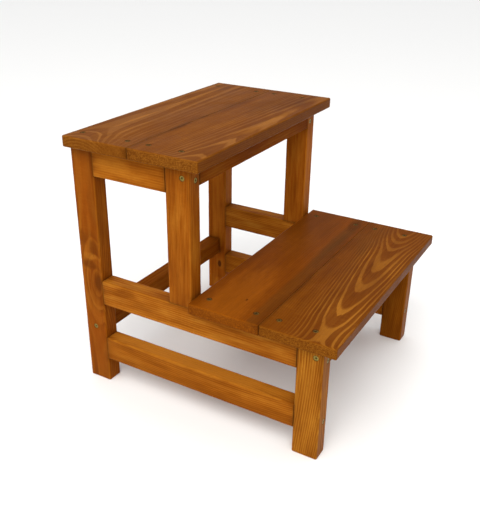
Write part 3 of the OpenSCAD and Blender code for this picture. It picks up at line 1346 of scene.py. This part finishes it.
    def _close_end(self, skin: Skin, grid: Grid, row: int) -> None:
        """Closes one end with a grid that blends its four sides.

        A point inside is the sum of the blend between the bottom and top sides and the
        blend between the low and high sides, less the blend of the four corners.

        Args:
            skin: the surface so far.
            grid: its grid.
            row: the end's row: 0 for the near end and -1 for the far end.
        """
        rim, numbers = grid.points[row], grid.numbers[row]
        across, up = len(grid.cross) + self.arc_cells, len(grid.deep) + self.arc_cells
        order = (np.arange(len(rim)) - self.arc_cells // 2) % len(rim)
        bottom = order[:across]
        high = order[across - 1:across - 1 + up]
        top = order[across + up - 2:across + up - 2 + across][::-1]
        low = np.append(order[2 * across + up - 3:], order[0])[::-1]
        u = (rim[bottom, 1] - rim[bottom[0], 1]) / (rim[bottom[-1], 1] - rim[bottom[0], 1])
        v = (rim[high, 2] - rim[high[0], 2]) / (rim[high[-1], 2] - rim[high[0], 2])
        u, v = u[None, :, None], v[:, None, None]
        filled = ((1 - v) * rim[bottom][None] + v * rim[top][None]
                  + (1 - u) * rim[low][:, None] + u * rim[high][:, None]
                  - (1 - u) * (1 - v) * rim[bottom[0]] - u * (1 - v) * rim[bottom[-1]]
                  - (1 - u) * v * rim[top[0]] - u * v * rim[top[-1]])
        net = np.zeros((up, across), int)
        inside = skin.add_points(filled[1:-1, 1:-1].reshape(-1, 3))
        net[1:-1, 1:-1] = inside.reshape(up - 2, across - 2)
        net[0], net[-1] = numbers[bottom], numbers[top]
        net[:, 0], net[:, -1] = numbers[low], numbers[high]
        quads = np.stack([net[:-1, :-1], net[:-1, 1:], net[1:, 1:], net[1:, :-1]], -1)
        quads = quads.reshape(-1, 4)
        skin.faces.extend((quads if row else quads[:, ::-1]).tolist())


# ---- Screws ----


class Facing(Enum):
    """Ways in which a group of screws faces; SIDES faces out on both sides."""

    UP = (0, 0, 1)
    DOWN = (0, 0, -1)
    BACK = (0, 1, 0)
    FRONT = (0, -1, 0)
    SIDES = (1, 0, 0)


@dataclass
class ScrewGroup:
    """Identical countersunk screws with a cross recess.

    The shape is turned: a radius and a height for each angle and each row. Across the
    head's top the rows run from the middle to the cross-shaped outline of the recess
    and on to the rim. Down the shank the thread's ridge rises and falls with the
    height divided by the pitch, less the share of a full turn.

    Attributes:
        node: the CAD node that the group stands for.
        facing: the way in which the heads face.
        seed: what turns each screw by its own angle.
        head_radius: radius of the head.
        shank_radius: radius of the thread's crests.
        core_radius: radius of the thread's roots.
        pitch: distance between two crests.
        arm_width: half the width of a recess arm.
        arm_length: how far a recess arm reaches from the middle.
        recess_depth: depth of the recess.
        point: length of the tapered point.
    """

    node: str
    facing: Facing
    seed: int
    head_radius: float = 4.0 * MM
    shank_radius: float = 1.95 * MM
    core_radius: float = 1.35 * MM
    pitch: float = 2.0 * MM
    arm_width: float = 0.48 * MM
    arm_length: float = 2.2 * MM
    recess_depth: float = 1.5 * MM
    point: float = 4.0 * MM

    def __post_init__(self) -> None:
        """Finds each screw of the group, and their length, in the CAD node.

        Points that lie within a screw's own width of one another, seen along the
        screws, belong to one screw.
        """
        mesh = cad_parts[self.node].data
        points = np.empty(len(mesh.vertices) * 3, np.float32)
        mesh.vertices.foreach_get("co", points)
        points = points.reshape(-1, 3).astype(float)
        sides = self.facing is Facing.SIDES
        found: list[Seat] = []
        for hand in (1.0, -1.0) if sides else (1.0,):
            outward = np.array(self.facing.value, float) * hand
            flat = 1.0 - np.abs(outward)
            rest = points[points[:, 0] * hand > 0.0] if sides else points
            while len(rest):
                near = (np.linalg.norm((rest - rest[0]) * flat, axis=1)
                        < 2.2 * self.head_radius)
                own, rest = rest[near], rest[~near]
                middle = (own.min(axis=0) + own.max(axis=0)) / 2.0
                head = (own @ outward).max()
                found.append(Seat(middle * flat + outward * head, outward))
                self.length = float(head - (own @ outward).min())
        self.seats = sorted(found, key=lambda seat: tuple(np.round(seat.mouth, 4)))

    def _angles(self) -> Array:
        """Gives the angles of a turn, with one at each corner of the recess."""
        corner = math.atan2(self.arm_width, self.arm_length)
        knots = (-QUARTER / 2.0, -corner, corner, QUARTER / 2.0)
        arm = np.concatenate([np.linspace(a, b, 4)[:-1] for a, b in zip(knots, knots[1:])])
        return np.concatenate([arm + number * QUARTER for number in range(4)])

    def _recess(self, angle: Array) -> Array:
        """Gives the distance from the middle to the recess's outline.

        Within a quarter turn around an arm, the outline is the arm's end while
        length * tan(angle) is within its half width, and the arm's side beyond it.

        Args:
            angle: angles round the screw.

        Returns:
            The distance at each angle.
        """
        within = (angle + QUARTER / 2.0) % QUARTER - QUARTER / 2.0
        side = self.arm_width / np.maximum(np.abs(np.sin(within)), 1e-6)
        return np.minimum(self.arm_length / np.cos(within), side)

    def _turned(self) -> tuple[Array, Array]:
        """Works out the turned shape.

        Returns:
            Points as rows of rings with the head's top at height 0, and how deep in
            the recess each point is, from 0 to 1.
        """
        angle = self._angles()
        cross, ones, rim, length = (self._recess(angle), np.ones_like(angle),
                                    self.head_radius, self.length)
        neck = rim - self.shank_radius + 0.14 * MM
        # Rings from the middle of the recess to the neck: radius, height and dirt.
        top = [(cross * 0.35, -self.recess_depth, 1.0),
               (cross * 0.72, -self.recess_depth, 1.0),
               (cross * 0.80, -self.recess_depth * 0.85, 1.0),
               (cross, -0.06 * MM, 0.8),
               (cross * 1.04 + 0.03 * MM, 0.0, 0.1),
               (0.5 * (cross + rim), 0.0, 0.0),
               (0.965 * rim * ones, -0.01 * MM, 0.0),
               (rim * ones, -0.09 * MM, 0.0),
               (rim * ones, -0.2 * MM, 0.0),
               ((self.shank_radius + 0.06 * MM) * ones, -neck, 0.0)]
        start = max(neck + 1.0 * MM, 0.35 * length)
        heights = np.concatenate([[neck + 0.3 * MM],
                                  np.arange(start, length - self.point, self.pitch / 4.0),
                                  np.linspace(length - self.point, length - 0.1 * MM, 6)])
        share = (heights[:, None] / self.pitch - angle[None, :] / (4.0 * QUARTER)) % 1.0
        ridge = np.clip(1.0 - np.abs(share - 0.5) * 3.2, 0.0, 1.0)
        taper = np.clip((length - heights) / self.point, 0.06, 1.0)[:, None]
        radius = (self.core_radius + (self.shank_radius - self.core_radius) * ridge) * taper
        radius[heights < start] = self.core_radius + 0.25 * MM
        radii = np.concatenate([np.stack([r for r, _, _ in top]), radius])
        levels = np.concatenate([[h for _, h, _ in top], -heights])[:, None] * ones
        dirt = np.concatenate([[d for _, _, d in top], np.zeros(len(heights))])[:, None] * ones
        return np.stack([radii * np.cos(angle), radii * np.sin(angle), levels], axis=-1), dirt

    def build(self, finish: ScrewFinish, material: bpy.types.Material) -> None:
        """Builds the group's screws as one object.

        Args:
            finish: the screws' finish; not used.
            material: its material.
        """
        dice = np.random.default_rng(self.seed)
        skin = Skin()
        depths: list[Array] = []
        rings, deep = self._turned()
        rows, count = rings.shape[:2]
        for seat in self.seats:
            turn = dice.uniform(0.0, QUARTER)
            side = np.cross(seat.outward, (0.3, 0.5, 0.8))
            side /= np.linalg.norm(side)
            other = np.cross(seat.outward, side)
            basis = np.stack([math.cos(turn) * side + math.sin(turn) * other,
                              math.cos(turn) * other - math.sin(turn) * side, seat.outward])
            ends = np.array([[0, 0, -self.recess_depth], [0, 0, -self.length]])
            numbers = skin.add_points(seat.mouth + rings.reshape(-1, 3) @ basis)
            numbers = numbers.reshape(rows, count)
            top, tip = skin.add_points(seat.mouth + ends @ basis)
            depths.extend([deep.ravel(), np.array([1.0, 0.0])])
            after = np.roll(numbers, -1, axis=1)
            quads = np.stack([numbers[:-1], numbers[1:], after[1:], after[:-1]], axis=-1)
            skin.faces.extend(quads.reshape(-1, 4).tolist())
            skin.add_fan(top, numbers[0], after[0])
            skin.add_fan(tip, after[-1], numbers[-1])
        made = new_mesh_object(self.node + "_plated", np.concatenate(skin.points), skin.faces,
                               material, {"recess": np.concatenate(depths)}, 30.0)
        settle(made, self.node)


# ---- Sub-assemblies ----


@dataclass
class Treads:
    """The two treads, each of two boards.

    Attributes:
        outer_round: radius on the outer edges and the ends.
        seam_round: radius along the seam.
    """

    outer_round: float = 2.5 * MM
    seam_round: float = 0.8 * MM

    @staticmethod
    def _marks(*marks: tuple[float, float, float, float, Tint, float]) -> tuple[Patch, ...]:
        """Makes patches on a board's top."""
        return tuple(Patch((along, across, 9.0), (long, wide, 12.0), tint, strength)
                     for along, across, long, wide, tint, strength in marks)

    def timbers(self) -> list[Timber]:
        """Gives the four boards, from the low front to the high back.

        Returns:
            The boards.
        """
        deep, pale, ground, olive = Tint.DEEP, Tint.PALE, Tint.GROUND, Tint.OLIVE
        # On the front boards' nose faces, turned from the main light: painted shade in ground
        # and deep colours.
        painted_nose_shade = tuple(Patch((0, -61, 0), (320, 4, 30), tint, strength)
                     for tint, strength in ((ground, 0.6), (deep, 0.3)))
        boards = [
            ("lower_tread_front_board",
             Log(-20.5, ((-223, -69.6), (-205, -70.4), (-143, -68.5), (-56, -65.9),
                         (25, -63.4), (114, -60.9), (147, -58.5), (177, -56.0), (223, -53.0)),
                 ring=2.5, wander=1.6, ripple=0.75, lean=0.04, fade=62.0),
             replace(TREAD_PINE, band=0.86, line=0.15, streak=0.25, brush=0.15, broad=0.25,
                     tone=0.95, pale=(0.355, 0.130, 0.0120, 1.0)),
             self._marks((150, 30, 90, 25, olive, 0.3), (185, -10, 110, 70, ground, 0.4))
             + painted_nose_shade + self._marks((-200, 20, 60, 50, ground, 0.4))),
            ("lower_tread_back_board",
             Log(-210.0, ((0, -30.0),), ring=4.0, wander=5.0),
             replace(TREAD_PINE, band=0.15, line=0.05, streak=0.16, brush=0.25, broad=0.2,
                     ground=(0.165, 0.038, 0.0016, 1.0), pale=(0.330, 0.092, 0.0050, 1.0)),
             self._marks((-190, 10, 170, 44, pale, 0.38), (-40, -48, 330, 14, olive, 0.42),
                         (130, -40, 150, 12, olive, 0.45), (188, -42, 36, 12, deep, 0.5),
                         (120, 20, 140, 60, olive, 0.2), (-166, -10, 4, 1.6, deep, 0.9))),
            ("upper_tread_front_board",
             Log(-48.0, ((-223, -77.0), (-186, -81.0), (-100, -84.0), (54, -87.0),
                         (223, -89.0)), wander=3.0, ripple=0.9, fade=75.0),
             replace(TREAD_PINE, line=0.12, streak=0.28, brush=0.2, broad=0.12, blotch=0.3,
                     ground=(0.144, 0.037, 0.0014, 1.0), pale=(0.350, 0.132, 0.0160, 1.0)),
             self._marks((20, -45, 110, 9, pale, 0.4), (-60, -15, 150, 22, ground, 0.4),
                         (130, 0, 110, 40, deep, 0.3), (180, -30, 60, 16, deep, 0.35),
                         (-91, 60, 44, 4, deep, 0.9), (-18, 60, 16, 3, deep, 0.8)) + painted_nose_shade),
            ("upper_tread_back_board",
             Log(27.0, ((-223, -66.0), (-190, -74.0), (-150, -79.0), (-60, -80.0),
                        (223, -82.0)), ring=5.0, wander=5.0, ripple=1.2, fade=60.0),
             replace(TREAD_PINE, band=0.5, line=0.06, streak=0.28, brush=0.22, broad=0.1,
                     blotch=0.3, speckle=0.3, tone=1.02, ground=(0.146, 0.039, 0.0014, 1.0),
                     pale=(0.345, 0.132, 0.0180, 1.0)),
             self._marks((-90, 24, 70, 4, pale, 0.5), (110, 28, 120, 4, pale, 0.45),
                         (40, 22, 90, 3, pale, 0.35), (-91, -60, 44, 4, deep, 0.9),
                         (-18, -60, 16, 3, deep, 0.8), (185, 22, 30, 8, deep, 0.4)))]
        seam, outer = self.seam_round, self.outer_round
        return [Timber(node, Grain.ALONG_X, log, finish, 11 + number,
                       seam if "back" in node else outer, outer if "back" in node else seam,
                       outer, patches)
                for number, (node, log, finish, patches) in enumerate(boards)]


class Hand(Enum):
    """The left side frame, towards -X, or the right one."""

    LEFT = "left"
    RIGHT = "right"


@dataclass
class SideFrame:
    """One side frame: three uprights and three rails.

    Attributes:
        hand: the side that it is on.
        corner_round: radius along the edges of its timber.
        foot_round: radius around the ends of its legs.
    """

    hand: Hand
    corner_round: float = 2.5 * MM
    foot_round: float = 1.6 * MM

    @staticmethod
    def _stains() -> dict[str, tuple[Patch, ...]]:
        """Gives the patches of stain on the left frame, with painted shade on the front leg
        and painted light on the lower stretcher's top.

        Returns:
            For each timber its patches, given by their place along and across, their
            depth, their half sizes, their tint and their strength.
        """
        deep, pale, ground = Tint.DEEP, Tint.PALE, Tint.GROUND
        stains = {
            "rear_leg": ((-18, -12, 14, 24, 10, 9, deep, 0.75),
                         (12, 3, 14, 10, 18, 9, deep, 0.65),
                         (44, -9, 14, 17, 12, 9, deep, 0.62),
                         (58, 13, 14, 16, 12, 9, deep, 0.45),
                         (27, 0, 14, 7, 17, 9, pale, 0.3),
                         (-60, 4, 14, 26, 18, 9, pale, 0.15),
                         (-130, 0, 14, 80, 24, 9, ground, 0.55),
                         (150, 0, 14, 80, 24, 9, ground, 0.55),
                         (120, -12, 14, 50, 9, 9, deep, 0.3)),
            # A deep strip on the front leg's front face: painted shade on the face turned from
            # the main light.
            "front_leg": ((0, -21, 0, 220, 7, 40, deep, 0.25),),
            "middle_rail": ((-110, 6, 14, 45, 14, 12, pale, 0.5),
                            (30, -14, 14, 90, 8, 12, pale, 0.6),
                            (130, 10, 14, 26, 12, 12, deep, 0.4)),
            # The pale patch over the stretcher's top face: painted light, the top lit from
            # above.
            "lower_stretcher": ((0, 0, 23, 230, 26, 8, pale, 0.6),
                                (-178, -10, -16, 7, 12, 6, deep, 0.8)),
            "upper_side_apron": ((30, 10, 0, 50, 14, 16, pale, 0.4),)}
        return {name: tuple(Patch(row[:3], row[3:6], *row[6:]) for row in rows)
                for name, rows in stains.items()}

    def timbers(self) -> list[Timber]:
        """Gives the uprights and the rails, each sawn from its own log.

        Returns:
            The timbers.
        """
        left = self.hand is Hand.LEFT
        y, z = Grain.ALONG_Y, Grain.ALONG_Z
        swirl = (Knot(-20, -14, 14, reach=37, push=-15, core=8, dark=0.15) if left
                 else Knot(-148, -7, 14, reach=18, push=5, core=4.5, dark=0.8))
        front_leg = (dict(line=0.42, band=0.72, tone=1.06, ground=(0.265, 0.077, 0.0045, 1.0),
                          pale=(0.50, 0.215, 0.022, 1.0)) if left
                     else dict(line=0.2, band=0.3, tone=0.82))
        # On the right frame, the rear leg's and the post's tone of 1.2 is painted light: it
        # brightens inner faces that sit in shade.
        shapes = [
            ("rear_leg", z, Log(-4.0, ((0, -72.0),), ring=4.6, lean=0.02, knot=swirl),
             dict(band=0.3, line=0.45 if left else 0.3, brush=0.5,
                  tone=0.94 if left else 1.2, ground=(0.250, 0.056, 0.0020, 1.0))),
            ("upper_post", z, Log(-60.0, ((0, 30.0),), ring=2.6, wander=3.0),
             dict(line=0.4, streak=0.5, brush=0.8, tone=1.0 if left else 1.2,
                  ground=(0.250, 0.056, 0.0018, 1.0))),
            ("front_leg", z, Log(70.0, ((-98, -42.0), (0, -45.0), (98, -52.0)), ring=2.8,
                                 wander=2.5, lean=-0.13), front_leg),
            ("upper_side_apron", y, Log(40.0, ((0, 90.0),), ring=3.8),
             dict(line=0.2, band=0.3, brush=0.75, tone=1.14)),
            ("middle_rail", y, Log(60.0, ((0, -70.0),), ring=3.2),
             dict(line=0.22, brush=0.85, tone=1.16, pale=(0.470, 0.195, 0.022, 1.0))),
            ("lower_stretcher", y, Log(30.0, ((-180, 52.0), (0, 46.0), (180, 58.0)),
                                       ring=3.4, wander=3.5),
             dict(line=0.35, band=0.55, tone=1.1))]
        stains = self._stains() if left else {}
        return [Timber(f"{name}_{self.hand.value}", grain, log,
                       replace(FRAME_PINE, **changes), (20 if left else 60) + number,
                       self.corner_round, self.corner_round,
                       self.foot_round if name.endswith("leg") else Timber.end_round,
                       stains.get(name, ()))
                for number, (name, grain, log, changes) in enumerate(shapes)]


@dataclass
class CrossRails:
    """The three rails from one side frame to the other."""

    # tone 0.78 darkens all three rails: their own stain, and painted shade for the front apron
    # under the treads.
    finish: PineFinish = replace(FRAME_PINE, tone=0.78, line=0.12, band=0.25, gloss=0.005,
                                 ground=(0.250, 0.052, 0.0018, 1.0))

    def timbers(self) -> list[Timber]:
        """Gives the front apron, the lower front rail and the rear stretcher.

        Returns:
            The rails.
        """
        shapes = [("upper_front_apron", Log(50.0, ((0, 50.0),), ring=3.2)),
                  ("lower_front_rail", Log(-60.0, ((0, 40.0),))),
                  ("rear_stretcher", Log(40.0, ((0, -60.0),), ring=3.4))]
        return [Timber(name, Grain.ALONG_X, log, self.finish, 31 + number)
                for number, (name, log) in enumerate(shapes)]


@dataclass
class Fixings:
    """All the screws, whose heads are trodden dull where they face up."""

    first_seed: int = 51

    def groups(self) -> list[ScrewGroup]:
        """Gives the groups of screws, each with the way that it faces.

        Returns:
            The groups.
        """
        faces = (("upper_tread_screws", Facing.UP), ("lower_tread_screws", Facing.UP),
                 ("rear_leg_screws", Facing.BACK), ("post_screws", Facing.FRONT),
                 ("front_leg_screws", Facing.FRONT), ("cross_rail_screws", Facing.SIDES),
                 ("post_foot_screws", Facing.DOWN))
        return [ScrewGroup(node, facing, self.first_seed + number)
                for number, (node, facing) in enumerate(faces)]

    def build(self, effects: Effects, timbers: Sequence[Timber]) -> None:
        """Builds the screws, and tells each timber which of them enter it.

        Args:
            effects: the shared effects.
            timbers: all timbers.
        """
        materials = {finish: finish.material(effects)
                     for finish in (CLEAN_PLATE, TRODDEN_PLATE)}
        for group in self.groups():
            for seat in group.seats:
                for timber in timbers:
                    if timber.holds(seat.mouth):
                        timber.seats.append(seat)
            finish = TRODDEN_PLATE if group.facing is Facing.UP else CLEAN_PLATE
            group.build(finish, materials[finish])


# ---- Studio ----


@dataclass(frozen=True)
class Lamp:
    """A square area light.

    Attributes:
        name: its name.
        place: its place, measured from the middle of the CAD box.
        target: what it looks at, measured from there too.
        size: the length of its side.
        power: its power in watts.
        colour: its colour.
    """

    name: str
    place: Triple
    target: Triple
    size: float
    power: float
    colour: Triple

    def hang(self, middle: Vector) -> None:
        """Hangs the light.

        Args:
            middle: the middle of the CAD box.
        """
        light = bpy.data.lights.new(self.name, "AREA")
        light.shape = "SQUARE"
        light.size, light.energy, light.color = self.size, self.power, self.colour
        made = bpy.data.objects.new(self.name, light)
        made.location = middle + Vector(self.place)
        way = Vector(self.target) - Vector(self.place)
        made.rotation_euler = way.to_track_quat("-Z", "Y").to_euler()
        bpy.context.scene.collection.objects.link(made)


@dataclass
class Studio:
    """A pale floor, soft lights and the camera.

    Attributes:
        eye_turn: the camera's place round the stool, in degrees from the front.
        eye_height: its height above the horizon, in degrees.
        eye_roll: how far it is rolled, in degrees.
        eye_distance: its distance from what it looks at.
        aim: the place that it looks at, measured from the middle of the CAD box.
        lens: focal length, in millimetres.
        sensor: width of the sensor, in millimetres.
        clip_end: how far it sees.
        floor_reach: how far the floor reaches to each side.
        floor_gap: room between the floor and the feet, which are not quite flat.
        floor_colour: the floor's colour.
        surround: brightness of the surround where it lights the scene.
        backdrop: how much brighter the camera sees it.
        lamps: the lights: a broad key to the left, a weak fill in front and a wide
            soft light overhead.
    """

    eye_turn: float = -60.16
    eye_height: float = 26.35
    eye_roll: float = 0.757
    eye_distance: float = 1.2368
    aim: Triple = (-0.0147, 0.0400, -0.0351)
    lens: float = 47.74
    sensor: float = 36.0
    clip_end: float = 200.0
    floor_reach: float = 26.0
    floor_gap: float = 0.1 * MM
    floor_colour: Colour = (0.93, 0.93, 0.925, 1.0)
    surround: float = 0.42
    backdrop: float = 0.45
    lamps: tuple[Lamp, ...] = (
        Lamp("key", (-2.1, -0.65, 2.5), (0.0, 0.0, 0.0), 2.2, 80.0, (1.0, 0.97, 0.93)),
        Lamp("fill", (-0.9, -2.8, 1.4), (0.0, 0.0, 0.0), 2.4, 2.0, (1.0, 0.98, 0.96)),
        Lamp("overhead", (4.0, 2.2, 21.0), (4.0, 2.2, 0.0), 60.0, 8700.0, (1.0, 1.0, 1.0)))

    def __post_init__(self) -> None:
        """Finds the middle of the CAD box."""
        self.middle = (Vector(CAD_BOX[0]) + Vector(CAD_BOX[1])) / 2.0

    def floor(self) -> None:
        """Lays the floor: a plain pale surface."""
        signs = np.array([(-1, -1), (1, -1), (1, 1), (-1, 1)], float)
        level = np.full(4, CAD_BOX[0][2] - self.floor_gap)
        material, sketch, shader = start_material("pale_floor")
        sketch.fill(shader, Base_Color=self.floor_colour, Roughness=0.7,
                    Specular_IOR_Level=0.2)
        corners = np.column_stack([signs * self.floor_reach, level])
        new_mesh_object("floor", corners, [[0, 1, 2, 3]], material, {})

    def lights(self) -> None:
        """Hangs the lights and paints the surround."""
        for lamp in self.lamps:
            lamp.hang(self.middle)
        world = bpy.data.worlds.new("surround")
        world.use_nodes = True
        sketch = Sketch(world.node_tree)
        seen = Wire(sketch, sketch.add("ShaderNodeLightPath").outputs["Is Camera Ray"])
        sketch.fill(world.node_tree.nodes["Background"], Color=(1.0, 1.0, 1.0, 1.0),
                    Strength=sketch.math("MULTIPLY_ADD", seen, self.backdrop, self.surround))
        bpy.context.scene.world = world
        bpy.context.scene.view_settings.view_transform = "Standard"

    def camera(self) -> None:
        """Sets up the camera.

        It looks back along (sin a cos e, -cos a cos e, sin e) for its turn a and its
        height e, from its distance, and is rolled about that line.
        """
        turn, height, roll = (math.radians(v)
                              for v in (self.eye_turn, self.eye_height, self.eye_roll))
        back = Vector((math.sin(turn) * math.cos(height), -math.cos(turn) * math.cos(height),
                       math.sin(height)))
        right = Vector((math.cos(turn), math.sin(turn), 0.0))
        up = back.cross(right)
        rolled_right = right * math.cos(roll) + up * math.sin(roll)
        rolled_up = up * math.cos(roll) - right * math.sin(roll)
        data = bpy.data.cameras.new("camera")
        data.sensor_width, data.lens, data.clip_end = self.sensor, self.lens, self.clip_end
        made = bpy.data.objects.new("camera", data)
        place = self.middle + Vector(self.aim) + back * self.eye_distance
        made.matrix_world = Matrix.Translation(place) @ Matrix(
            (rolled_right, rolled_up, back)).transposed().to_4x4()
        bpy.context.scene.collection.objects.link(made)
        bpy.context.scene.camera = made


# ---- The whole stool ----


def main() -> None:
    """Builds the stool and its studio in order, and reports each piece."""
    logging.basicConfig(level=logging.INFO, format="%(name)s: %(message)s")
    effects = Effects()
    timbers = [*Treads().timbers(), *SideFrame(Hand.LEFT).timbers(),
               *SideFrame(Hand.RIGHT).timbers(), *CrossRails().timbers()]
    Fixings().build(effects, timbers)
    for timber in timbers:
        timber.build(effects, timbers)
    studio = Studio()
    studio.floor()
    studio.lights()
    studio.camera()
    bpy.context.view_layer.update()


if __name__ == "__main__":
    main()
